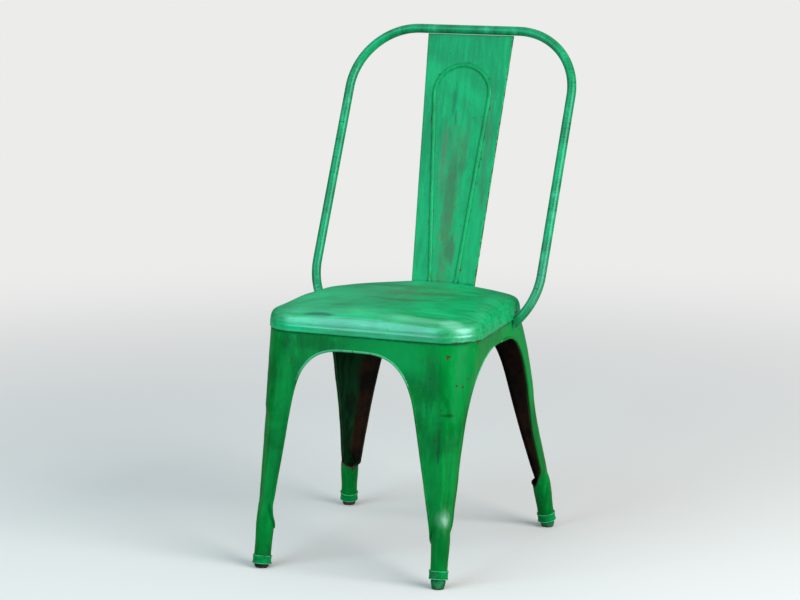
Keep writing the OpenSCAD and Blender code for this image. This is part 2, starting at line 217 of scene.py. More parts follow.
def paintMaterial(name, look):
    material, board, shader = newMaterial(name)
    where = board.place()
    tone = board.cloud(where, look["toneScale"], 7.0, 0.6, 0.6)
    brush = board.cloud(board.stretched(where, look["strokes"]), 1.0, 8.0, 0.68, 0.4)
    speck = board.cloud(where, 420.0, 3.0, 0.6)
    grain = board.cloud(where, 110.0, 4.0, 0.6)
    edge = board.painted("edge")
    inner = board.painted("inner")
    wear = board.painted("wear")
    soot = board.painted("soot")
    rusty = board.painted("rusty")
    lit = board.painted("lit")

    mottle = tone + (brush - 0.5) * look["streak"]
    green = board.colour(board.step(mottle, 0.5 - look["soft"], 0.5 + look["soft"]), look["low"], look["high"])
    green = board.colour(board.step(brush + (grain - 0.5) * 0.3, 0.54, 0.68) * look["strokeAmount"],
                         green, look["strokeColour"])
    green = board.colour(board.step(brush + (tone - 0.5) * 0.6, 0.42, 0.30) * look["dim"], green, paintLook["deep"])
    # painted light: where the 'lit' mark is set the paint turns brighter, on the leg faces that light falls on, and
    # as a pale blue-green painted reflection on the seat's top
    green = board.colour(lit * 0.8, green, look.get("fresh", look["high"]))

    # paint rubbed thin: it shows brown-grey through, in strokes
    thin = board.step(wear + (brush - 0.5) * 1.9 + (grain - 0.5) * 0.5, 0.6, 0.95)
    base = board.colour(thin * 0.75, green, paintLook["rubbed"])
    bare = board.step(wear + (brush - 0.5) * 1.6 + (speck - 0.5) * 0.9, 0.95, 1.25)
    base = board.colour(bare * 0.6, base, paintLook["brown"])

    # thin brown scratches where it is rubbed most
    scratch = board.cloud(board.stretched(where, look["scratches"], (3.1, 1.7, 0.4)), 1.0, 6.0, 0.66)
    base = board.colour(board.step(scratch + wear * 0.25, 0.68, 0.76) * 0.55, base, paintLook["scuff"])

    # edges: paint worn to a pale line, which is also a painted highlight along rolled edges, bead crests and the
    # seat's hem, with short broken lengths of rust
    pale = board.step(edge + (grain - 0.5) * 0.7, 0.45, 0.85)
    base = board.colour(pale * look["paleEdgeAndHighlight"], base, paintLook["chalk"])
    nicks = board.step(board.cloud(where, 90.0, 4.0, 0.68) + edge * 0.06 + rusty * 0.30, 0.70, 0.76)
    chips = board.step(board.cloud(where, 150.0, 2.0, 0.5) + rusty * 0.10, 0.735, 0.76)
    rust = board.larger(nicks, chips)
    bitten = board.cloud(where, 260.0, 3.0, 0.65)
    for middle, size in look.get("chips", []):
        rust = board.larger(rust, board.spot(where, middle, size, bitten))
    rustColour = board.colour(board.step(grain, 0.35, 0.65), paintLook["darkRust"], paintLook["rust"])
    base = board.colour(rust * 0.85, base, rustColour)

    # grime all over and darker towards the bottom, with painted shade in the hollows, creases and gaps between
    # parts
    dirtyAndShaded = board.step(soot + (grain - 0.5) * 0.6 + (brush - 0.5) * 0.8, 0.35, 0.95)
    base = board.colour(dirtyAndShaded * 0.72, base, paintLook["grime"])
    for middle, size, strength, tint in look.get("stains", []):
        base = board.colour(board.spot(where, middle, size, brush, 0.5) * strength, base, tint)
    if look.get("rings"):
        # short cracks round the bent bar
        ring = board.node("ShaderNodeTexNoise", {"noise_dimensions": "1D"},
                          {"W": board.painted("along") * look["rings"], "Scale": 1.0, "Detail": 2.0})
        crack = board.step(ring, 0.66, 0.70) * board.step(grain, 0.40, 0.56)
        base = board.colour(crack * 0.6, base, paintLook["grime"])

    # the unpainted inside of the channels, rusty brown with some dark green overspray
    under = board.colour(board.step(board.cloud(where, 26.0, 4.0, 0.6), 0.38, 0.62),
                         paintLook["insideDark"], paintLook["insideRust"])
    spray = board.step(board.painted("spray") + (board.cloud(where, 14.0, 3.0, 0.6) - 0.5) * 0.9, 0.42, 0.7)
    sprayColour = board.colour(board.step(brush, 0.4, 0.65), paintLook["sprayDark"], paintLook["sprayGreen"])
    base = board.colour(inner, base, board.colour(spray * 0.9, under, sprayColour))

    rough = look["rough"] + thin * 0.16 + rust * 0.35 + dirtyAndShaded * 0.2 + (brush - 0.5) * 0.14 + inner * 0.4
    height = (brush * look["strokeDepth"] + grain * look["grit"] + speck * 0.01
              - rust * 0.16 - thin * 0.05 + inner * grain * 0.3)
    board.feed(shader, {
        "Base Color": base, "Roughness": board.smaller(rough, 0.95),
        "Normal": board.bump(height, paintLook["deepest"]),
        "Coat Weight": board.painted("shine"), "Coat Roughness": paintLook["shineRough"],
        "Coat Tint": paintLook["shineTint"], "Coat IOR": paintLook["shineIor"],
        "Specular IOR Level": look["gloss"], "Specular Tint": paintLook["sheen"],
    })
    return material


seatLook = {
    "low": rgb(2, 152, 84), "high": rgb(8, 186, 112), "toneScale": 9.0, "fresh": rgb(84, 194, 146),
    "streak": 0.9, "soft": 0.15, "dim": 0.35,
    "strokes": (13.0, 180.0, 180.0), "scratches": (24.0, 130.0, 130.0),
    "strokeAmount": 0.45, "strokeColour": rgb(20, 190, 118), "strokeDepth": 0.05,
    "paleEdgeAndHighlight": 0.3, "rough": 0.36, "gloss": 1.0, "grit": 0.04,
    # stains; the two pale ones on the front roll are painted highlights
    "stains": [((-0.090, -0.207, 0.447), (0.036, 0.007, 0.004), 0.8, rgb(6, 84, 78)),
               ((0.158, -0.1935, 0.443), (0.020, 0.014, 0.007), 0.45, paintLook["faded"]),
               ((0.100, -0.197, 0.447), (0.075, 0.010, 0.005), 0.25, paintLook["faded"]),
               ((-0.060, -0.150, 0.455), (0.030, 0.006, 0.010), 0.35, paintLook["olive"]),
               ((0.055, 0.005, 0.455), (0.060, 0.016, 0.010), 0.55, paintLook["olive"]),
               ((-0.030, 0.060, 0.455), (0.085, 0.014, 0.010), 0.45, paintLook["olive"]),
               ((0.010, -0.060, 0.455), (0.070, 0.012, 0.010), 0.45, paintLook["olive"])],
}
legLook = {
    "low": rgb(0, 100, 34), "high": rgb(0, 134, 52), "toneScale": 13.0, "fresh": rgb(0, 148, 68),
    "streak": 0.7, "soft": 0.24, "dim": 0.18,
    "strokes": (70.0, 70.0, 9.0), "scratches": (210.0, 210.0, 27.0),
    "strokeAmount": 0.25, "strokeColour": rgb(0, 164, 76), "strokeDepth": 0.06,
    "paleEdgeAndHighlight": 0.62, "rough": 0.34, "gloss": 0.14, "grit": 0.04,
    "chips": [((0.1610, -0.2132, 0.3908), (0.0042, 0.006, 0.0024)),
              ((0.1590, -0.2150, 0.3870), (0.0018, 0.006, 0.0034)),
              ((0.1318, -0.2257, 0.3526), (0.0015, 0.006, 0.0020)),
              ((0.1768, -0.2144, 0.3420), (0.0015, 0.006, 0.0020)),
              ((0.1843, -0.2057, 0.3392), (0.0014, 0.006, 0.0022)),
              ((0.1555, -0.2338, 0.3007), (0.0015, 0.006, 0.0018)),
              ((0.1480, -0.2400, 0.2500), (0.0016, 0.006, 0.0040))],
    # stains: painted shade under the overhang at the top of the front right flute, a brown patch low on the rear
    # left leg, a dark streak beside the flute, a painted highlight on the front right knee, and two darker patches
    # high on the front left leg
    "stains": [((0.1661, -0.2326, 0.2927), (0.013, 0.012, 0.0026), 0.6, paintLook["grime"]),
               ((-0.1900, 0.1500, 0.0860), (0.030, 0.020, 0.0050), 0.9, paintLook["brown"]),
               ((0.1560, -0.2460, 0.2450), (0.0030, 0.012, 0.040), 0.5, paintLook["grime"]),
               ((0.1722, -0.2618, 0.1190), (0.0120, 0.016, 0.014), 0.18, paintLook["faded"]),
               ((-0.1750, -0.2200, 0.3300), (0.020, 0.020, 0.030), 0.3, paintLook["grime"]),
               ((-0.1000, -0.2170, 0.3950), (0.060, 0.010, 0.012), 0.3, paintLook["grime"])],
}
hoopLook = {
    "low": rgb(0, 124, 60), "high": rgb(0, 158, 92), "toneScale": 14.0, "streak": 0.7, "soft": 0.18, "dim": 0.35,
    "strokes": (60.0, 60.0, 14.0), "scratches": (180.0, 180.0, 42.0),
    # the hoop's strokes are a pale blue-green, partly a painted highlight
    "strokeAmount": 0.5, "strokeColour": rgb(72, 170, 132), "strokeDepth": 0.02,
    "paleEdgeAndHighlight": 0.3, "rough": 0.36, "gloss": 0.7, "grit": 0.003, "rings": 260.0,
    # painted shade: the lower right of the hoop is darker
    "stains": [((0.215, 0.066, 0.472), (0.030, 0.050, 0.060), 0.4, rgb(64, 104, 80))],
}
splatLook = {
    "low": rgb(0, 142, 74), "high": rgb(0, 168, 92), "toneScale": 9.0, "streak": 0.9, "soft": 0.18, "dim": 0.22,
    "strokes": (150.0, 60.0, 9.0), "scratches": (450.0, 180.0, 27.0),
    "strokeAmount": 0.4, "strokeColour": rgb(24, 170, 108), "strokeDepth": 0.06,
    "paleEdgeAndHighlight": 0.6, "rough": 0.36, "gloss": 0.35, "grit": 0.04,
    "stains": [((-0.0138, 0.2458, 0.7757), (0.0040, 0.03, 0.026), 0.7, rgb(4, 104, 54)),
               ((-0.0090, 0.2400, 0.7500), (0.0030, 0.03, 0.014), 0.7, rgb(4, 104, 54)),
               ((0.0080, 0.1701, 0.5089), (0.0110, 0.03, 0.020), 0.8, paintLook["olive"]),
               ((-0.0252, 0.2157, 0.6698), (0.0060, 0.03, 0.060), 0.55, rgb(88, 112, 72)),
               ((0.0164, 0.2214, 0.6899), (0.0080, 0.03, 0.045), 0.5, paintLook["olive"]),
               ((-0.0040, 0.1950, 0.6000), (0.0120, 0.04, 0.075), 0.6, paintLook["olive"]),
               ((0.0600, 0.2200, 0.6900), (0.0080, 0.04, 0.150), 0.4, paintLook["olive"])],
}
collarLook = dict(legLook, low=rgb(0, 116, 54), high=rgb(0, 148, 72), paleEdgeAndHighlight=0.6, toneScale=40.0,
                  strokes=(40.0, 40.0, 160.0), chips=[], stains=[])


footLook = {"mud": rgb(70, 62, 52), "mudHeight": 0.007, "shine": 0.2, "deepest": 0.001}


def footMaterial(name, low, high, rough):
    material, board, shader = newMaterial(name)
    where = board.place()
    patch = board.cloud(where, 70.0, 4.0, 0.65)
    scuff = board.cloud(board.stretched(where, (240.0, 240.0, 60.0)), 1.0, 4.0, 0.6)
    mud = board.step(board.axis(where, "Z") + (patch - 0.5) * 0.012, footLook["mudHeight"], 0.0005)
    base = board.colour(board.step(patch, 0.38, 0.64), low, high)
    base = board.colour(mud * 0.7, base, footLook["mud"])
    board.feed(shader, {
        "Base Color": base, "Roughness": (scuff - 0.5) * 0.3 + rough, "Specular IOR Level": footLook["shine"],
        "Normal": board.bump(scuff * 0.25 + patch * 0.3, footLook["deepest"]),
    })
    return material


seatPaint = paintMaterial("seatPaint", seatLook)
legPaint = paintMaterial("legPaint", legLook)
hoopPaint = paintMaterial("hoopPaint", hoopLook)
splatPaint = paintMaterial("splatPaint", splatLook)
collarPaint = paintMaterial("collarPaint", collarLook)
footBlack = footMaterial("footBlack", rgb(24, 24, 23), rgb(44, 42, 38), 0.6)
footGreen = footMaterial("footGreen", rgb(10, 96, 54), rgb(30, 136, 82), 0.45)
footDirty = footMaterial("footDirty", rgb(60, 42, 28), rgb(96, 74, 52), 0.75)
print("finishes made")


# ---------- making pieces
def inMetres(points):
    return [(x * mm, (y + shiftY) * mm, z * mm) for x, y, z in points]


def store(mesh, name, values):
    mesh.attributes.new(name, "FLOAT", "POINT").data.foreach_set("value", values)


def addPiece(name, points, faces, paint, marks=None, sharp=38.0):
    mesh = bpy.data.meshes.new(name)
    mesh.from_pydata(inMetres(points), [], faces)
    for key, values in (marks or {}).items():
        store(mesh, key, values)
    mesh.materials.append(paint)
    mesh.shade_smooth()
    mesh.set_sharp_from_angle(angle=math.radians(sharp))
    mesh.validate()
    return linked(name, mesh)


def wall(rows, across, start=0, flip=False, ring=True, loop=False):
    # faces between neighbouring rows of points; ring closes it across and loop along
    faces = []
    for j in range(rows if loop else rows - 1):
        for i in range(across if ring else across - 1):
            i2, j2 = (i + 1) % across, (j + 1) % rows
            a, b, c, d = (start + y * across + x for y, x in ((j, i), (j, i2), (j2, i2), (j2, i)))
            faces.append((b, a, d, c) if flip else (a, b, c, d))
    return faces


def titleOf(corner):
    return "".join(word.capitalize() for word in corner.split("_"))


def settle(piece, node):
    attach(piece, "root")
    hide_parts(node)
    return piece


def tubeTree():
    # Geometry Nodes: a round bar along a path, thinner or thicker where the path says, with lumps
    tree = bpy.data.node_groups.new("barAlongPath", "GeometryNodeTree")
    face = tree.interface
    face.new_socket("Geometry", in_out="INPUT", socket_type="NodeSocketGeometry")
    for label, kind, value in (("Bar radius", "NodeSocketFloat", 0.002), ("Sides", "NodeSocketInt", 12),
                               ("Lump height", "NodeSocketFloat", 0.0), ("Lump scale", "NodeSocketFloat", 200.0),
                               ("Seed", "NodeSocketFloat", 3.0), ("Edge mark", "NodeSocketFloat", 1.0),
                               ("Paint", "NodeSocketMaterial", None)):
        socket = face.new_socket(label, in_out="INPUT", socket_type=kind)
        if value is not None:
            socket.default_value = value
    face.new_socket("Geometry", in_out="OUTPUT", socket_type="NodeSocketGeometry")
    board = Board(tree)
    given = tree.nodes.new("NodeGroupInput")

    def inlet(label):
        return Wire(board, given.outputs[label])

    thick = board.node("GeometryNodeInputNamedAttribute", {"data_type": "FLOAT"}, {"Name": "thick"})
    path = board.node("GeometryNodeMeshToCurve", None, {"Mesh": inlet("Geometry")})
    path = board.node("GeometryNodeSetCurveRadius", None, {"Curve": path, "Radius": thick})
    along = board.node("GeometryNodeSplineParameter", None, None, "Length")
    path = board.node("GeometryNodeStoreNamedAttribute", {"data_type": "FLOAT", "domain": "POINT"},
                      {"Geometry": path, "Name": "along", "Value": along})
    ring = board.node("GeometryNodeCurvePrimitiveCircle", None,
                      {"Resolution": inlet("Sides"), "Radius": inlet("Bar radius")})
    bar = board.node("GeometryNodeCurveToMesh", None,
                     {"Curve": path, "Profile Curve": ring, "Fill Caps": True})
    bar = board.node("GeometryNodeStoreNamedAttribute", {"data_type": "FLOAT", "domain": "POINT"},
                     {"Geometry": bar, "Name": "edge", "Value": inlet("Edge mark")})
    spot = board.node("GeometryNodeInputPosition")
    lump = board.node("ShaderNodeTexNoise", {"noise_dimensions": "4D"},
                      {"Vector": spot, "W": inlet("Seed"), "Scale": inlet("Lump scale"), "Detail": 2.0})
    push = board.vector("SCALE", {0: board.node("GeometryNodeInputNormal"),
                                  "Scale": (lump - 0.5) * inlet("Lump height")})
    bar = board.node("GeometryNodeSetPosition", None, {"Geometry": bar, "Offset": push})
    bar = board.node("GeometryNodeRealizeInstances", None, {"Geometry": bar})
    bar = board.node("GeometryNodeSetShadeSmooth", None, {"Geometry": bar})
    bar = board.node("GeometryNodeSetMaterial", None, {"Geometry": bar, "Material": inlet("Paint")})
    board.feed(tree.nodes.new("NodeGroupOutput"), {"Geometry": bar})
    return tree


barTree = tubeTree()


def barPiece(name, points, thick, paint, radius, sides=12, lump=0.0, lumpScale=200.0, seed=3.0, edgeMark=1.0):
    host = bpy.data.meshes.new(name + "Path")
    host.from_pydata(inMetres(points), [(i, i + 1) for i in range(len(points) - 1)], [])
    store(host, "thick", thick)
    piece = linked(name, host)
    modifier = piece.modifiers.new("bar", "NODES")
    modifier.node_group = barTree
    sizes = {"Bar radius": radius * mm, "Sides": sides, "Lump height": lump * mm, "Lump scale": lumpScale,
             "Seed": seed, "Edge mark": edgeMark, "Paint": paint}
    for item in barTree.interface.items_tree:
        if item.in_out == "INPUT" and item.name in sizes:
            modifier[item.identifier] = sizes[item.name]
    ready = piece.evaluated_get(bpy.context.evaluated_depsgraph_get())
    mesh = bpy.data.meshes.new_from_object(ready)
    mesh.name = name
    piece.modifiers.clear()
    piece.data = mesh
    if not mesh.materials:
        mesh.materials.append(paint)
    return piece


# ---------- seat pan
seatSize = {
    "frontWidth": 400.0, "rearWidth": 362.0, "depth": 371.0, "rimZ": 413.0, "rise": 44.0,
    "skirt": 11.0, "frontCorner": 70.0, "rearCorner": 88.0, "dish": 3.0, "cornerDrop": 8.0,
    "roll": 27.0, "sheet": 1.2, "arcSteps": 22, "sideSteps": 22,
}
halfFront = seatSize["frontWidth"] / 2
halfRear = seatSize["rearWidth"] / 2
halfDepth = seatSize["depth"] / 2
rimZ = seatSize["rimZ"]
sheet = seatSize["sheet"]


def seatOutline(inset):
    # points round the seat from above, anticlockwise
    frontR = max(seatSize["frontCorner"] - inset, 14)
    rearR = max(seatSize["rearCorner"] - inset, 14)
    wf, wr, d = halfFront - inset, halfRear - inset, halfDepth - inset
    steps = seatSize["arcSteps"]
    corners = [(wf - frontR, -d + frontR, frontR, -90), (wr - rearR, d - rearR, rearR, 0),
               (-wr + rearR, d - rearR, rearR, 90), (-wf + frontR, -d + frontR, frontR, 180)]
    ring = []
    for cx, cy, r, a0 in corners:
        for i in range(steps + 1):
            a = math.radians(a0 + 90 * i / steps)
            ring.append((cx + r * math.cos(a), cy + r * math.sin(a)))
    full = []
    for i, here in enumerate(ring):
        full.append(here)
        if i % (steps + 1) == steps:
            after = ring[(i + 1) % len(ring)]
            for j in range(1, seatSize["sideSteps"]):
                t = j / seatSize["sideSteps"]
                full.append((mix(here[0], after[0], t), mix(here[1], after[1], t)))
    return full


def seatSection():
    # (inset, height above the rim) from the rim to near the middle
    skirt, roll, rise = seatSize["skirt"], seatSize["roll"], seatSize["rise"]
    section = [(0.35, -0.0), (-0.15, 0.7), (-0.3, 1.6), (0.0, 2.8),
               (0.0, 6.0), (0.0, 9.2), (0.15, 10.4), (0.55, 11.2)]
    for a in range(6, 76, 6):
        section.append((0.5 + roll * (1 - math.cos(math.radians(a))),
                        skirt + (rise - 3 - skirt) * math.sin(math.radians(a))))
    x0, y0 = section[-1]
    a = math.radians(72)
    slope = (rise - 3 - skirt) * math.cos(a) / (roll * math.sin(a))
    span = roll + 30 - x0
    for i in range(1, 11):
        t = i / 10
        y = (y0 * (1 + 2 * t) * (1 - t) ** 2 + span * slope * t * (1 - t) ** 2
             + rise * t * t * (3 - 2 * t))
        section.append((x0 + span * t, y))
    for i in range(1, 15):
        e = 104 * i / 14
        section.append((roll + 30 + e, rise - seatSize["dish"] * ease(e / 104)))
    return section


def cornerDrop(inset, x, y):
    # the crown is lower towards the four corners
    near = ease((abs(x) / (halfFront - inset) * abs(y) / (halfDepth - inset) - 0.18) / 0.6)
    return seatSize["cornerDrop"] * near * ease(inset / 18) * (1 - ease((inset - 30) / 70))


def buildSeat():
    section = seatSection()
    points, marks = [], {key: [] for key in ("wear", "edge", "soot", "rusty", "shine", "lit", "inner")}

    def addRing(inset, height, under):
        for x, y in seatOutline(inset):
            z = rimZ + height - cornerDrop(inset, x, y)
            dent = 0.0
            if inset > 4:
                amount = ease((inset - 4) / 40)
                dent = amount * (0.8 * wander(x, y, 0, 110, 2.1) + 0.25 * wander(x, y, 0, 42, 7.7))
                dent -= 1.0 * ease((inset - 4) / 8) * hill((x + 98) / 34, (y + 160) / 9)
            points.append((x, y, z + dent))
            middle = hill((x - 5) / 118, (y - 28) / 92)
            marks["wear"].append(0.0 if under else clamp(0.12 + 0.62 * middle))
            # a pale line along the hem, partly a painted highlight; painted shade along the skirt below the front
            # roll
            marks["edge"].append(0.0 if under else clamp(1 - abs(height - 1.0) / 2.4) * 0.75)
            crease = clamp(1 - abs(height - 7) / 5) * (1 if height < 12 else 0)
            marks["soot"].append(0.55 if under else 0.30 * crease)
            side = ease((x - 90) / 80) * ease((150 - y) / 60)
            lowEnd = mix(11, 1, ease((x + 150) / 110))  # the shine stops higher at the left end
            front = ease((-y - 60) / 90) * ease((height - lowEnd) / 6) * ease((38 - height) / 10)
            marks["shine"].append(0.0 if under else 0.45 * front)
            marks["rusty"].append(0.3 if under else clamp(1.3 - height / 2.2) * (0.1 + 0.85 * side))
            # painted reflection: a pale blue-green haze over the left of the seat's top
            marks["lit"].append(0.0 if under else 0.42 * ease((110 - x) / 190) * ease((height - 32) / 8))
            marks["inner"].append(1.0 if under else 0.0)

    n = len(seatOutline(0))
    for inset, height in section:
        addRing(inset, height, False)
    for inset, height in section:
        thinner = 0 if height < 0.5 else sheet * clamp(height / seatSize["rise"] * 1.4)
        addRing(inset + sheet, height - thinner, True)
    rows = len(section)
    m = rows * n
    faces = wall(rows, n) + wall(rows, n, m, True)
    for k in range(n):
        faces.append(((k + 1) % n, k, m + k, m + (k + 1) % n))
    for start, flip in ((m - n, False), (2 * m - n, True)):
        cx = sum(points[start + k][0] for k in range(n)) / n
        cy = sum(points[start + k][1] for k in range(n)) / n
        cz = sum(points[start + k][2] for k in range(n)) / n
        points.append((cx, cy, cz))
        for layer in marks.values():
            layer.append(layer[start])
        top = len(points) - 1
        for k in range(n):
            a, b = start + k, start + (k + 1) % n
            faces.append((b, a, top) if flip else (a, b, top))
    return addPiece("Pan", points, faces, seatPaint, marks)


settle(buildSeat(), "seat_pan")
print("seat pan made")


# ---------- legs
legSize = {
    "frontFoot": (167.0, 241.5), "rearFoot": (203.0, 212.0), "tubeR": 14.8,
    "frontKnee": 92.0, "rearKnee": 76.0, "frontLean": (-0.015, -0.19), "rearLean": (-0.1, -0.17),
    "apron": 26.0, "lip": 5.0, "frontArch": 121.0, "rearArch": 132.0, "sideArchFront": 168.0,
    "sideArchRear": 138.0, "skew": 15.0, "flute": 4.4, "fit": 0.45, "seamY": 5.0, "seamGap": 0.1,
    "flareZ": 36.0, "flare": 1.8, "rollR": 2.3, "springDrop": 148.0, "topDrop": 3.5, "waist": 4.2,
    "fluteTop": 190.0, "fluteTopFade": 24.0, "fluteLow": 14.0, "fluteLowFade": 20.0,
    "openAbove": 26.0, "closedBelow": 24.0,  # from the knee, where the tube opens into the channel
    "archPower": 3.3, "frontSidePower": 2.6, "archSteps": 44, "crownDrop": 14.0,
    "rearDeeper": 8.0, "rearLeftDeeper": (-14, 17),  # how much further in the rear side panels reach
    "spread": 1.7, "frontWiden": 2.0, "rearWiden": 2.6, "bend": 0.45,
    "dentSeeds": {"front_left": 1.3, "front_right": 5.9, "rear_left": 9.4, "rear_right": 14.2},
    "dents": ((0.9, 60, 0), (0.35, 24, 3)),  # height, size and seed of each layer
    "feet": {"front_left": 6.5, "front_right": 16.0, "rear_left": 11.0, "rear_right": 13.0},
}
tubeR = legSize["tubeR"]
inset = sheet + legSize["fit"]
sideTaper = (halfFront - halfRear) / (2 * halfDepth - seatSize["frontCorner"] - seatSize["rearCorner"])
crownZ = rimZ - legSize["apron"]
springZ = rimZ - legSize["springDrop"]
legTopZ = rimZ + seatSize["skirt"] - legSize["topDrop"]


def legFacts(corner):
    front = corner.startswith("front")
    side = 1 if corner.endswith("right") else -1
    kind = "front" if front else "rear"
    gap = legSize["seamGap"]
    return {
        "corner": corner, "sx": side, "sy": -1 if front else 1,
        "foot": legSize[kind + "Foot"], "lean": legSize[kind + "Lean"], "knee": legSize[kind + "Knee"],
        "topU": (halfFront if front else halfRear) - inset, "topV": halfDepth - inset,
        "topR": seatSize[kind + "Corner"] - inset,
        "edgeU": legSize[kind + "Arch"], "edgeV": legSize["sideArchFront" if front else "sideArchRear"],
        "seamU": (-side * legSize["skew"] if front else 0) + gap,
        "seamV": (-legSize["seamY"] if front else legSize["seamY"]) + gap,
        "powerU": legSize["archPower"], "powerV": legSize["frontSidePower" if front else "archPower"],
        "taper": -sideTaper if front else sideTaper,
        "skew": -side * legSize["skew"] if front else 0.0,
        "bottom": legSize["feet"][corner] + 1,
    }


class Leg:
    # one pressed leg, in its own quarter: u runs out sideways, v out to the front or the back
    def __init__(self, facts, partner=None):
        self.__dict__.update(facts)
        self.partner = partner
        self.kneeU = self.face(0, self.knee) - 2 * tubeR
        self.kneeV = self.face(1, self.knee) - 2 * tubeR

    def line(self, i, z):
        return self.foot[i] + tubeR + self.lean[i] * z

    def face(self, i, z):
        s = clamp((z - self.knee) / (rimZ - self.knee))
        top = self.topU if i == 0 else self.topV
        waist = 0.0
        if self.sy > 0:
            waist = legSize["waist"] * hill((z - self.knee - 140) / 85) * ease((z - self.knee) / 60)
        spread = (top - self.line(i, rimZ)) * s ** legSize["spread"]
        return self.line(i, z) + spread - max(z - rimZ, 0) * self.lean[i] - waist

    def sideAt(self, z):
        # how far out the side panel is where it meets the next leg
        centre = self.face(1, z) - self.radius(z)
        slope = self.taper * ease((z - springZ) / (rimZ - springZ))
        return self.face(0, z) + slope * (centre - self.seamV)

    def meeting(self, z):
        return (self.partner.sideAt(z) - self.sideAt(z)) / 2 if self.partner and z > crownZ - 60 else 0.0

    def radius(self, z):
        s = clamp((z - self.knee) / (rimZ - self.knee))
        return mix(tubeR, self.topR, s ** legSize["frontWiden" if self.sy < 0 else "rearWiden"])

    def bow(self, z, power):
        if z <= springZ:
            return 1.0
        t = clamp((z - springZ) / (crownZ - springZ))
        return max(1 - t ** power, 0) ** (1 / power)

    def edgeAt(self, i, z):
        end, knee = (self.edgeU, self.kneeU) if i == 0 else (self.edgeV, self.kneeV)
        line = mix(knee, end, (z - self.knee) / (springZ - self.knee))
        if i == 0:
            return (line * self.bow(z, self.powerU)
                    + self.skew * clamp((z - self.knee) / (crownZ - self.knee)))
        deeper = 0
        if self.corner == "rear_left":
            up = clamp((z - self.knee) / (springZ - self.knee))
            deeper = mix(*legSize["rearLeftDeeper"], up) * self.bow(z, self.powerV)
        elif self.sy > 0:
            deeper = legSize["rearDeeper"] * ease((z - self.knee) / 40) * ease((springZ - z) / 110)
        return self.seamV + (line - self.seamV) * self.bow(z, self.powerV) - deeper

    def rows(self):
        made = [(z, self.seamU, z, self.seamV, z) for z in (legTopZ, rimZ - 0.5)]
        for t in (0.25, 0.5, 0.8):
            z = mix(rimZ, crownZ, t)
            made.append((z - legSize["crownDrop"] * t, self.seamU, z, self.seamV, z))
        steps = legSize["archSteps"]
        for i in range(steps + 1):
            c = math.cos(math.pi / 2 * i / steps)
            zu = springZ + (crownZ - springZ) * c ** (2 / self.powerU)
            zv = springZ + (crownZ - springZ) * c ** (2 / self.powerV)
            made.append((mix(crownZ - legSize["crownDrop"], springZ, i / steps),
                         self.seamU if i == 0 else self.edgeAt(0, zu), zu,
                         self.seamV if i == 0 else self.edgeAt(1, zv), zv))
        opened, closed = self.knee + legSize["openAbove"], self.knee - legSize["closedBelow"]
        for z in between(springZ, opened, 36)[1:]:
            made.append((z, self.edgeAt(0, z), z, self.edgeAt(1, z), z))
        closing = between(opened, closed, 34)[1:]
        if self.sy > 0:  # more rows where the rear legs' edges turn quickly
            closing = sorted(closing + between(self.knee + 13.3, self.knee + 6.2, 12), reverse=True)
        for z in closing:
            low = max(z, self.knee)
            made.append((z, self.edgeAt(0, low), z, self.edgeAt(1, low), z))
        for z in between(closed, self.bottom, 10)[1:]:
            made.append((z, 0, z, 0, z))
        return made

    def fluteAt(self, z):
        high = ease((self.knee + legSize["fluteTop"] - z) / legSize["fluteTopFade"])
        return high * ease((z - self.knee - legSize["fluteLow"]) / legSize["fluteLowFade"])

    def dent(self, u, v, z):
        seed = legSize["dentSeeds"][self.corner]
        fade = ease((z - self.knee) / 40) * ease((rimZ - 4 - z) / 14)
        fade *= ease((u - self.seamU) / 40) * ease((v - self.seamV) / 40)
        return fade * sum(tall * wander(u, v, z, size, seed + more) for tall, size, more in legSize["dents"])

    def channel(self, row, s, t):
        z = mix(row[0], row[2], -s) if s < 0 else mix(row[0], row[4], s)
        fu, fv = self.face(0, z), self.face(1, z)
        r = max(min(self.radius(z), fu - row[1] - 3, fv - row[3] - 3), tubeR * 0.7)
        cu, cv = fu - r, fv - r
        slope = self.taper * ease((z - springZ) / (rimZ - springZ))
        meet = self.meeting(z) * ease(1 - (row[3] - self.seamV) / 12)
        bend = legSize["bend"]  # where along the section the flat panels end and the corner begins
        if s <= -bend:
            u = mix(row[1], cu, (s + 1) / (1 - bend))
            return (u, fv - t - self.dent(u, fv, z), z)
        if s >= bend:
            v = mix(cv, row[3], (s - bend) / (1 - bend))
            level = meet * ease(1 - (v - self.seamV) / 60)
            return (fu - t + slope * (cv - v) + level - self.dent(fu, v, z), v, z)
        a = 90 * (0.5 - s / (2 * bend))
        c, n = math.cos(math.radians(a)), math.sin(math.radians(a))
        sunk = legSize["flute"] * self.fluteAt(z) * max(math.cos(math.radians((a - 45) * 2.3)), 0) ** 1.2
        reach = r - t - sunk - self.dent(cu + r * c, cv + r * n, z)
        return (cu + reach * c, cv + reach * n, z)

    def tube(self, row, s, t):
        z = row[0]
        axis = Vector((self.lean[0], self.lean[1], 1)).normalized()
        e1 = (Vector((1, 0, 0)) - axis * axis.x).normalized()
        e2 = axis.cross(e1)
        a = math.radians(45 - s * 179.6)
        flare = legSize["flare"] * ease((z - legSize["flareZ"]) / (self.knee - legSize["flareZ"]))
        c = Vector((self.line(0, z) - tubeR, self.line(1, z) - tubeR, z))
        p = c + (e1 * math.cos(a) + e2 * math.sin(a)) * (tubeR + flare - t)
        return (p.x, p.y, p.z)

    def closing(self, row, s=0.0):
        # 0 where the sheet is a closed tube, 1 where it is an open channel; the free edges open sooner
        if self.sy > 0:
            start = self.knee + 8 + (1.0 if s < 0 else -1.0) * abs(s)
            slow = s > 0 and self.corner == "rear_right"
            b = clamp((row[0] - start) / mix(36, 34 if slow else 3.5, clamp(abs(s) * 1.5)))
            return b ** mix(1.0, 0.5, clamp(s * 1.5)) if slow else b
        b = ease((row[0] - self.knee + legSize["closedBelow"]) / (legSize["openAbove"] + legSize["closedBelow"]))
        return b ** mix(1.0, 0.30, s ** 6)

    def wrap(self, closed, opened, b, s):
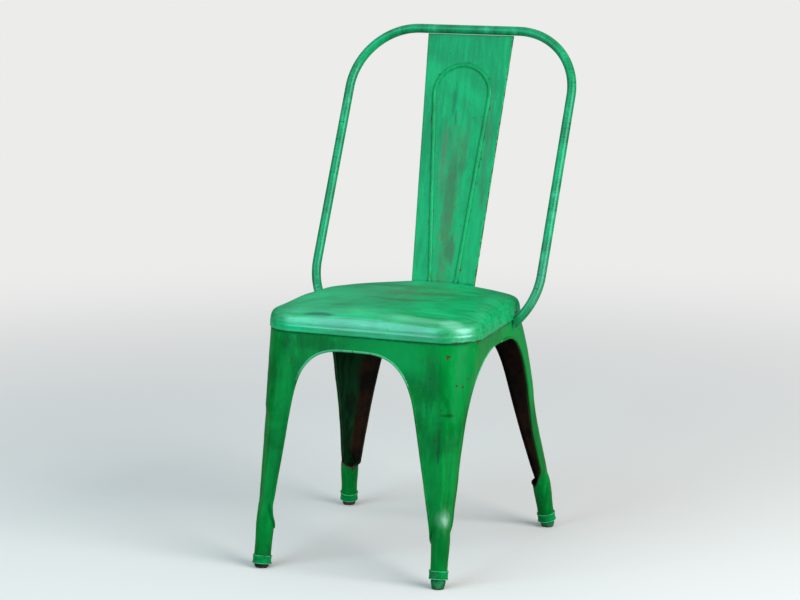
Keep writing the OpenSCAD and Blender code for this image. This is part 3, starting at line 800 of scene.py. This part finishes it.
        # swings a point round the tube's axis from its place on the tube to its place on the channel
        if b <= 0 or b >= 1:
            return closed if b <= 0 else opened
        z = mix(closed[2], opened[2], b)
        turns, reaches = [], []
        for p in (closed, opened):
            du, dv = p[0] - self.line(0, p[2]) + tubeR, p[1] - self.line(1, p[2]) + tubeR
            turn = (math.degrees(math.atan2(dv, du)) - 45 + 180) % 360 - 180
            turns.append(turn - math.copysign(360, turn) if turn * s > 90 else turn)
            reaches.append(math.hypot(du, dv))
        a, r = math.radians(mix(turns[0], turns[1], b) + 45), mix(reaches[0], reaches[1], b)
        return (self.line(0, z) - tubeR + r * math.cos(a), self.line(1, z) - tubeR + r * math.sin(a), z)

    def skin(self, row, s, t):
        return self.wrap(self.tube(row, s, t), self.channel(row, s, t), self.closing(row, s), s)

    def lip(self, row, s, t, depth):
        u, v, z = self.channel(row, s, 0)
        opened = (u + t, v - depth, z) if s < 0 else (u - depth, v + t, z)
        closed = self.tube(row, s * (1 - t / tubeR / 3.1), depth)
        return self.wrap(closed, opened, self.closing(row, s), s)

    def lipDepth(self, row):
        return mix(sheet + 0.4, legSize["lip"], ease((row[0] - self.knee - 4) / 30))

    def turn(self, p):
        # from the leg's own quarter to the chair
        return (self.sx * p[0], self.sy * p[1], p[2])


# places along a leg's section, -1 to 1 from one free edge to the other
legPlaces = between(-1, -legSize["bend"], 14)[:-1] + between(-legSize["bend"], legSize["bend"], 26)
legPlaces += between(legSize["bend"], 1, 14)[1:]


def buildLeg(corner):
    front = corner.startswith("front")
    other = corner.replace("front", "rear") if front else corner.replace("rear", "front")
    leg = Leg(legFacts(corner), Leg(legFacts(other)))
    rows = leg.rows()
    points, marks = [], {key: [] for key in ("edge", "inner", "wear", "soot", "rusty", "spray", "lit", "shine")}
    last = len(legPlaces) - 1

    def add(point, s, row, isInner):
        points.append(leg.turn(point))
        z = point[2]
        near = clamp(1 - (1 - abs(s)) * 22) if z > leg.knee - 10 else 0.0
        if z > crownZ - 1:
            near = 0.0
        marks["edge"].append(near * 0.55)
        polished = hill((z - leg.knee - 28) / 17, (s + 0.02) / 0.26) if front else 0.0
        marks["shine"].append(0.4 * polished)
        # painted light: the leg faces the right-hand lamp falls on, and the front apron, are painted brighter
        lit = 0.0
        if front and not isInner:
            apron = ease((-s - 0.45) / 0.2) * ease((z - 335) / 40) * ease((leg.sx * point[0] + 60) / 100)
            lit = 0.5 * ease((s + 0.35) / 0.5) * ease((z - 280) / 70) + 0.9 * apron
        elif corner == "rear_right" and not isInner:
            lit = 0.8 * ease(s * 3) * ease((z - 230) / 40)
        marks["lit"].append(lit)
        marks["inner"].append(1.0 if isInner else 0.0)
        marks["wear"].append(0.08 + 0.10 * ease((z - 330) / 60))
        # darker towards the bottom; painted shade in the front legs' flute grooves and in a line just under the
        # seat's rim, with less of it on the front right leg's side, where rust takes its place
        low = ease((60 - z) / 50)
        middling = ease((270 - z) / 90)
        hollow = leg.fluteAt(z) * clamp(1 - abs(abs(s) - 0.12) / 0.09) if front else 0
        gap = clamp(1 - abs(z - rimZ + 1) / 3.5)
        side = ease(s * 3) if corner == "front_right" else 0.2
        dirtAndShade = 0.12 + 0.30 * low + 0.12 * middling
        marks["soot"].append(clamp(dirtAndShade + 0.35 * hollow + 0.9 * gap * (1 - 0.6 * side)))
        rim = clamp(1.3 - abs(z - rimZ + 1.5) / 2.5)
        knee = 0 if front else clamp(1 - abs(z - leg.knee - 2) / 14) * ease((abs(s) - 0.75) / 0.2)
        marks["rusty"].append(clamp(0.12 * near + side * rim + 0.8 * knee))
        marks["spray"].append(clamp(0.8 + s * 0.7 if corner == "rear_left" else 0.1))

    for row in rows:
        depth = leg.lipDepth(row)
        add(leg.lip(row, -1, 0, depth), -1, row, True)
        for s in legPlaces:
            add(leg.skin(row, s, 0), s, row, False)
        add(leg.lip(row, 1, 0, depth), 1, row, True)
        add(leg.lip(row, 1, sheet, depth), 1, row, True)
        add(leg.lip(row, 1, sheet, sheet), 1, row, True)
        for k in range(last - 1, 0, -1):
            add(leg.skin(row, legPlaces[k], sheet), legPlaces[k], row, True)
        add(leg.lip(row, -1, sheet, sheet), -1, row, True)
        add(leg.lip(row, -1, sheet, depth), -1, row, True)
    n = len(points) // len(rows)
    m = len(rows)
    faces = wall(m, n, 0, True)
    half = len(legPlaces) + 2
    base = (m - 1) * n
    for k in range(half - 1):
        faces.append((k, k + 1, n - 2 - k, n - 1 - k))
        faces.append((base + k + 1, base + k, base + n - 1 - k, base + n - 2 - k))
    if leg.sx * leg.sy > 0:
        faces = [tuple(reversed(face)) for face in faces]
    title = "Leg" + titleOf(corner)
    settle(addPiece(title, points, faces, legPaint, marks), "leg_" + corner)

    # the rolled edge round each arch, thinning out as the channel closes
    for side, label in ((-1, "OuterRoll"), (1, "SideRoll")):
        path, thick = [], []
        for row in rows:
            z = row[2] if side < 0 else row[4]
            b = leg.closing(row, side)
            if z > crownZ + 0.01 or b <= 0.02:
                continue
            u, v, z = leg.channel(row, side, 0)
            spot = (u + 1.5, v - 1.4, z) if side < 0 else (u - 1.4, v + 1.5, z)
            spot = leg.wrap(leg.tube(row, side * 0.98, 2.0), spot, b, side)
            if not path:  # runs a little past the seam, to meet the next leg's roll
                past = (spot[0] - 0.8, spot[1], spot[2]) if side < 0 else (spot[0], spot[1] - 0.8, spot[2])
                path.append(leg.turn(past))
                thick.append(1.0)
            path.append(leg.turn(spot))
            thick.append(mix(0.2, 1.0, ease((row[0] - leg.knee + 22) / 100)))
        pale = 1.0 if front else 0.2
        roll = barPiece(title + label, path, thick, legPaint, legSize["rollR"], 14, 0.2, 60.0, 3.0, pale)
        out = Vector((0, leg.sy, 0)) if side < 0 else Vector((leg.sx, 0, 0))
        bare = 0.12 if front else 0.7
        facing = [clamp(bare - 1.8 * v.normal.dot(out)) for v in roll.data.vertices]
        store(roll.data, "inner", facing)
        # the pale edge, partly a painted highlight, is strongest high up on the arches
        high = [pale * mix(0.15, 1.0, ease((v.co.z / mm - 285) / 95)) for v in roll.data.vertices]
        roll.data.attributes["edge"].data.foreach_set("value", high)
        settle(roll, "leg_" + corner)
    return leg


legs = {corner: buildLeg(corner) for corner in legSize["feet"]}
print("legs made")


# ---------- collars and feet
collarSize = {"wall": 1.5, "length": 15.0, "bead": 0.9, "steps": 64}
footSize = {"topR": 13.0, "lowR": 10.0, "steps": 48}


def legAxis(leg):
    # foot point, and the axis and two across directions of a leg's tube
    lean = Vector((leg.sx * leg.lean[0], leg.sy * leg.lean[1], 1)).normalized()
    across = (Vector((1, 0, 0)) - lean * lean.x).normalized()
    return Vector((leg.sx * leg.foot[0], leg.sy * leg.foot[1], 0)), lean, across, lean.cross(across)


def turned(name, leg, z0, section, steps, paint, marks=None, closed=True, flatFloor=False, wobble=0.0):
    # a section of (radius, height) spun round a leg's axis
    start, lean, across, other = legAxis(leg)
    base = start + lean * (z0 / lean.z)
    points, layers = [], {key: [] for key in (marks or {})}
    for j, (r, h) in enumerate(section):
        for i in range(steps):
            a = 2 * math.pi * i / steps
            rr = r + wobble * wander(r * math.cos(a), r * math.sin(a), h * 2 + z0, 9, z0)
            p = base + lean * h + (across * math.cos(a) + other * math.sin(a)) * rr
            if flatFloor and p.z < 0:
                p = p + lean * (-p.z / lean.z)
            points.append(tuple(p))
            for key in layers:
                layers[key].append(marks[key][j])
    rows = len(section)
    faces = wall(rows, steps, loop=closed)
    if not closed:
        faces.append(tuple(range(steps - 1, -1, -1)))
        faces.append(tuple((rows - 1) * steps + i for i in range(steps)))
    return addPiece(name, points, faces, paint, layers, 50.0)


def beadPoints(outer, low, radius, steps=8):
    return [(outer + radius * math.cos(math.radians(a)), low + radius + radius * math.sin(math.radians(a)))
            for a in between(-90, 90, steps)]


for corner, leg in legs.items():
    title = titleOf(corner)
    inner, outer = tubeR + 0.15, tubeR + collarSize["wall"]
    bead, length = collarSize["bead"], collarSize["length"]
    section = [(inner, 0.0)] + beadPoints(outer, 0, bead)
    middle = [(outer + 0.05, 2.6), (outer, 4.2), (outer - 0.2, 7.5), (outer, 10.8), (outer + 0.05, 12.4)]
    section = section + middle + beadPoints(outer, length - 2 * bead, bead) + [(inner, length)]
    # the beads take the pale edge colour, partly a painted highlight; the collar is darker at its bottom, next to
    # the foot
    edge, soot = [], []
    for r, h in section:
        raised = clamp((r - outer) / bead)
        edge.append(0.95 if raised > 0.7 else 0.0)
        soot.append(0.1 if raised > 0.3 or h > 3 else 0.7)
    blank = [0.0] * len(section)
    piece = turned("Collar" + title, leg, legSize["feet"][corner], section, collarSize["steps"], collarPaint,
                   {"edge": edge, "soot": soot, "inner": blank, "wear": [0.2] * len(section),
                    "rusty": [0.3] * len(section), "spray": blank}, wobble=0.22)
    settle(piece, "collar_" + corner)

    h = legSize["feet"][corner]
    stub = tubeR - sheet - 0.7
    topR = footSize["topR"]
    lowR = mix(topR, footSize["lowR"], (h + 1.5) / (h + 7.5))
    section = [(lowR * 0.6, -h - 4), (lowR - 0.9, -h - 1.0), (lowR, -h + 0.9)]
    for t in between(0, 1, 8)[1:]:
        section.append((mix(lowR, topR, t) + 0.25 * math.sin(t * 3.1), mix(-h + 0.9, -2.6, t)))
    section += [(topR - 0.3, -1.9), (topR - 1.0, -1.5), (stub - 0.6, -1.4)]
    section += [(stub - 0.6, 0.3), (stub, 0.5), (stub, 12)]
    paint, slot = {"front_left": (footBlack, "foot_black"), "front_right": (footGreen, "foot_painted"),
                   "rear_left": (footDirty, "foot_dirty"), "rear_right": (footGreen, "foot_painted")}[corner]
    piece = turned("Foot" + title, leg, h, section, footSize["steps"], paint, closed=False, flatFloor=True,
                   wobble=0.5)
    settle(piece, "foot_" + corner)
print("collars and feet made")


# ---------- back hoop
hoopSize = {
    "r": 8.5, "halfWidth": 220.5, "topZ": 908.0, "topY": 313.0, "lean": 25.6, "bend": 122.0,
    "lowBend": 134.0, "lowTurn": 47.0, "side": 464.0, "sides": 40, "sag": 0.7, "cutLean": 1.5,
}


def hoopPath():
    # half the path in the hoop's own plane: (across, down)
    h = hoopSize
    flat = []
    topL = h["halfWidth"] - h["bend"]
    for t in between(0, topL, 30):
        flat.append((t, 0.0))
    for a in between(90, 0, 40)[1:]:
        a = math.radians(a)
        flat.append((topL + h["bend"] * math.cos(a), -h["bend"] + h["bend"] * math.sin(a)))
    for t in between(-h["bend"], -h["side"], 90)[1:]:
        flat.append((h["halfWidth"], t))
    lowX = h["halfWidth"] - h["lowBend"]
    for a in between(0, h["lowTurn"], 40)[1:]:
        a = math.radians(a)
        flat.append((lowX + h["lowBend"] * math.cos(a), -h["side"] - h["lowBend"] * math.sin(a)))
    return flat


def hoopPoint(x, down):
    a = math.radians(90 - hoopSize["lean"])
    sag = hoopSize["sag"] * wander(x, down, 0, 150, 4.0)
    return (x, hoopSize["topY"] + down * math.cos(a) + sag * math.sin(a), hoopSize["topZ"] + down * math.sin(a))


def buildHoop():
    half = hoopPath()
    path = [hoopPoint(-x, d) for x, d in reversed(half[1:])] + [hoopPoint(x, d) for x, d in half]
    thick = [1 + 0.012 * wander(*p, 40, 8.0) for p in path]
    piece = barPiece("BackHoop", path, thick, hoopPaint, hoopSize["r"] - 0.1, hoopSize["sides"],
                     lumpScale=30.0, edgeMark=0.0)
    # trim both ends flat against the sides of the seat
    work = bmesh.new()
    work.from_mesh(piece.data)
    taper = math.atan(sideTaper)
    lean = math.radians(hoopSize["cutLean"])
    for side in (-1, 1):
        startY = -halfDepth + seatSize["frontCorner"] + shiftY
        at = Vector((side * (halfFront + 0.25), startY, rimZ + seatSize["skirt"])) * mm
        out = Vector((side * math.cos(taper), math.sin(taper), math.sin(lean))).normalized()
        middles = [(f, f.calc_center_median()) for f in work.faces]
        low = [f for f, middle in middles if middle.z < 0.47 and middle.x * side > 0]
        geom = set(low)
        for f in low:
            geom.update(f.verts)
            geom.update(f.edges)
        cut = bmesh.ops.bisect_plane(work, geom=list(geom), plane_co=at, plane_no=out, clear_inner=True)
        rim = [e for e in cut["geom_cut"] if isinstance(e, bmesh.types.BMEdge)]
        bmesh.ops.edgeloop_fill(work, edges=rim)
    bmesh.ops.recalc_face_normals(work, faces=work.faces)
    work.to_mesh(piece.data)
    work.free()
    piece.data.shade_smooth()
    piece.data.set_sharp_from_angle(angle=math.radians(50))
    return piece


settle(buildHoop(), "back_hoop")
print("back hoop made")


# ---------- splat
splatSize = {
    "topHalf": 85.5, "lowHalf": 63.0, "off": 2.5, "back": 2.5, "beadTop": 55.0, "beadLow": 26.0,
    "beadDrop": 67.0, "beadHalf": 2.9, "beadHeight": 2.6, "across": 116, "along": 250, "hem": 3.2,
    "skirtTop": 26.0, "skirtLap": 27.0, "touch": 0.15,
}
splatLowZ = rimZ + seatSize["skirt"] + splatSize["skirtTop"]
splatY0 = halfDepth + splatSize["touch"]
splatLean = math.atan((hoopSize["topY"] + splatSize["back"] - splatY0) / (hoopSize["topZ"] - splatLowZ))
splatMidL = ((hoopSize["topZ"] - splatLowZ) / math.cos(splatLean)
             - (splatSize["back"] + sheet) * math.sin(splatLean))
splatL = splatMidL - hoopSize["r"] - splatSize["touch"]
archY = splatMidL - splatSize["beadDrop"] - splatSize["beadTop"]
beadTilt = math.atan((splatSize["beadTop"] - splatSize["beadLow"]) / archY)


def beadGap(x, y):
    # distance from a place on the panel to the bead's line, above 0 inside the arch
    turn = -math.atan(splatSize["off"] / 450)
    x, y = x * math.cos(turn) + y * math.sin(turn) * -1, y * math.cos(turn) + x * math.sin(turn)
    a = math.atan2(y - archY, abs(x))
    if a > -beadTilt:
        d = splatSize["beadTop"] - math.hypot(x, y - archY)
    else:
        line = splatSize["beadLow"] + (splatSize["beadTop"] - splatSize["beadLow"]) * y / archY
        d = (line - abs(x)) * math.cos(beadTilt)
    return d


def splatHeight(x, y):
    # how far the panel's face stands out of flat
    d = beadGap(x, y)
    h = splatSize["beadHeight"] * math.exp(-(d / splatSize["beadHalf"]) ** 4 * 1.3) * (1 - 0.15 * ease(abs(d) / 3))
    inside = ease((d - 2) / 30)
    h += 0.9 * inside
    h += 0.55 * hill((x - 4 + (y - 230) * 0.02) / 2.2) * ease((y - 60) / 40) * ease((310 - y) / 60)
    return h + 0.8 * wander(x, y, 0, 70, 3.3) * inside + 0.4 * wander(x, y, 0, 120, 6.1)


def buildSplat():
    points, marks = [], {key: [] for key in ("edge", "inner", "wear", "soot", "rusty", "spray")}
    turn = math.radians(90) - splatLean

    def place(x, y, out):
        return (x, splatY0 + sheet + y * math.cos(turn) - out * math.sin(turn),
                splatLowZ + y * math.sin(turn) + out * math.cos(turn))

    lap = splatSize["skirtLap"]
    rows = [("skirt", y) for y in between(-lap, 0, 10)[:-1]]
    rows += [("panel", y) for y in between(0, splatL, splatSize["along"])]
    cols = between(-1, 1, splatSize["across"])
    hem = splatSize["hem"]
    for isBack in (False, True):
        for kind, y in rows:
            t = clamp(y / splatL)
            left = mix(-splatSize["lowHalf"], splatSize["off"] - splatSize["topHalf"], t)
            right = mix(splatSize["lowHalf"], splatSize["off"] + splatSize["topHalf"], t)
            for s in cols:
                x = mix(left, right, (s + 1) / 2)
                rim = min(x - left, right - x)
                fold = hem - math.sqrt(max(hem * hem - max(hem - rim, 0) ** 2, 0))
                front = 0 if isBack else sheet
                if kind == "panel":
                    out = front + splatHeight(x, y) * ease(y / 22) - fold
                    p = place(x, y, out)
                else:
                    low = place(x, 0, front - fold)
                    p = (x, splatY0 + (sheet if isBack else 0) + fold * 0.6, mix(rimZ + 1, low[2], (y + lap) / lap))
                points.append(p)
                d = beadGap(x, max(y, 0))
                # painted highlight: the bead's crest takes the pale edge colour
                crest = hill(d / 1.7)
                marks["edge"].append(0.0 if isBack else clamp(0.9 * clamp(1 - rim / 1.6) + 0.62 * crest))
                marks["inner"].append(0.0)
                middle = hill((x + 3) / 24) * ease((0.80 - t) / 0.3)
                rubbed = 0.55 * middle if d > 0 else 0
                marks["wear"].append(clamp(0.20 + rubbed + 0.22 * hill((abs(d) - 4) / 3)))
                # painted shade in lines beside the bead, under the hoop at the top and where the panel meets the
                # seat
                dirtAndShade = 0.14 + 0.5 * hill((abs(d) - 4.4) / 1.3)
                dirtAndShade += 0.5 * ease((5 - (splatL - y)) / 5) + 0.35 * ease((10 - y) / 10)
                marks["soot"].append(0.45 if isBack else clamp(dirtAndShade))
                marks["rusty"].append(clamp(0.75 * clamp(1 - rim / 2.5) + 0.45 * hill((d + 5) / 2.2)))
                marks["spray"].append(0.0)
    n, m = len(cols), len(rows)
    size = n * m
    faces = wall(m, n, ring=False) + wall(m, n, size, True, ring=False)
    for j in range(m - 1):
        a, b = j * n, j * n + n - 1
        faces.append((size + a, a, a + n, size + a + n))
        faces.append((b, size + b, size + b + n, b + n))
    for i in range(n - 1):
        a = (m - 1) * n + i
        faces.append((i + 1, i, size + i, size + i + 1))
        faces.append((a, a + 1, size + a + 1, size + a))
    return addPiece("BackSplat", points, faces, splatPaint, marks, 45.0)


settle(buildSplat(), "back_splat")
print("splat made")


# ---------- camera, light and floor
cameraView = {"at": (1.7161, -4.0722, 1.2373), "yaw": 0.403, "pitch": 0.178, "roll": 0.001,
              "lens": 112.5, "sensor": 36, "reach": 200}


def addCamera():
    yaw, pitch, roll = cameraView["yaw"], cameraView["pitch"], cameraView["roll"]
    ahead = Vector((-math.sin(yaw) * math.cos(pitch), math.cos(yaw) * math.cos(pitch), -math.sin(pitch)))
    side = Vector((math.cos(yaw), math.sin(yaw), 0))
    up = side.cross(ahead)
    right = side * math.cos(roll) + up * math.sin(roll)
    top = up * math.cos(roll) - side * math.sin(roll)
    lens = bpy.data.cameras.new("camera")
    lens.lens = cameraView["lens"]
    lens.sensor_width = cameraView["sensor"]
    lens.clip_end = cameraView["reach"]
    camera = linked("camera", lens)
    camera.matrix_world = Matrix.Translation(Vector(cameraView["at"])) @ Matrix((
        (right.x, top.x, -ahead.x, 0), (right.y, top.y, -ahead.y, 0), (right.z, top.z, -ahead.z, 0), (0, 0, 0, 1)))
    bpy.context.scene.camera = camera


def addLamp(name, at, target, size, power, colour):
    light = bpy.data.lights.new(name, "AREA")
    light.shape = "RECTANGLE"
    light.size, light.size_y = size
    light.energy = power
    light.color = colour
    lamp = linked(name, light)
    lamp.location = at
    lamp.rotation_euler = (Vector(target) - Vector(at)).to_track_quat("-Z", "Y").to_euler()


floorLook = {"half": 60, "lit": rgb(150, 150, 148), "seen": rgb(228, 228, 226), "far": rgb(236, 236, 235),
             "fadeFrom": 0.7, "fadeTo": 3.2}


def addFloor():
    mesh = bpy.data.meshes.new("floor")
    r = floorLook["half"]
    mesh.from_pydata([(-r, -r, 0), (r, -r, 0), (r, r, 0), (-r, r, 0)], [], [(0, 1, 2, 3)])
    material, board, shader = newMaterial("paleFloor")
    eye = board.node("ShaderNodeLightPath", out=0)
    pale = board.colour(eye, floorLook["lit"], floorLook["seen"])
    board.feed(shader, {"Base Color": pale, "Roughness": 0.9, "Specular IOR Level": 0.1})
    # far from the chair the floor fades to an even pale tone for the eye only
    far = board.vector("LENGTH", {0: board.place()}, 1)
    plain = board.node("ShaderNodeEmission", None, {"Color": floorLook["far"]})
    fade = board.step(far, floorLook["fadeFrom"], floorLook["fadeTo"])
    both = board.node("ShaderNodeMixShader", None, {0: fade * eye})
    board.feed(both.socket.node, {1: Wire(board, shader.outputs[0]), 2: plain})
    board.feed(material.node_tree.nodes["Material Output"], {"Surface": both})
    mesh.materials.append(material)
    floor = linked("floor", mesh)


skyLook = {
    "stops": [(0.0, (0.16, 0.16, 0.16, 1)), (0.25, (0.34, 0.36, 0.38, 1)),
              (0.6, (0.80, 0.84, 0.88, 1)), (1.0, (1.05, 1.10, 1.14, 1))],
    "behind": (0.03, 0.03, 0.03, 1), "seen": (1.63, 1.63, 1.63, 1), "strength": 0.58,
}


def addSky():
    world = bpy.data.worlds.new("studio")
    bpy.context.scene.world = world
    world.use_nodes = True
    board = Board(world.node_tree)
    way = board.node("ShaderNodeTexCoord", out=0)
    up = board.axis(way, "Z")
    glow = board.node("ShaderNodeValToRGB", {"stops": skyLook["stops"]}, {0: up})
    # darker behind the chair, so the seat top doesn't mirror a bright horizon
    behind = board.step(board.axis(way, "Y"), -0.2, 0.5) * board.step(up, 0.75, 0.3)
    glow = board.colour(behind * 0.8, glow, skyLook["behind"])
    eye = board.node("ShaderNodeLightPath", out=0)
    shown = board.colour(eye, glow, skyLook["seen"])
    board.feed(world.node_tree.nodes["Background"], {"Color": shown, "Strength": skyLook["strength"]})


# where each lamp is, what it faces, its size, power and colour
lamps = {
    "softFront": ((-1.6, -3.2, 2.2), (0, -0.1, 0.45), (3.0, 3.4), 98, (0.66, 0.92, 1.0)),
    "softRight": ((3.8, -1.1, 2.1), (0, -0.1, 0.4), (3.0, 2.8), 200, (1.0, 0.98, 0.95)),
}
addCamera()
addSky()
addFloor()
for name, values in lamps.items():
    addLamp(name, *values)
scene = bpy.context.scene
scene.view_settings.view_transform = "Standard"
print("camera, light and floor made")
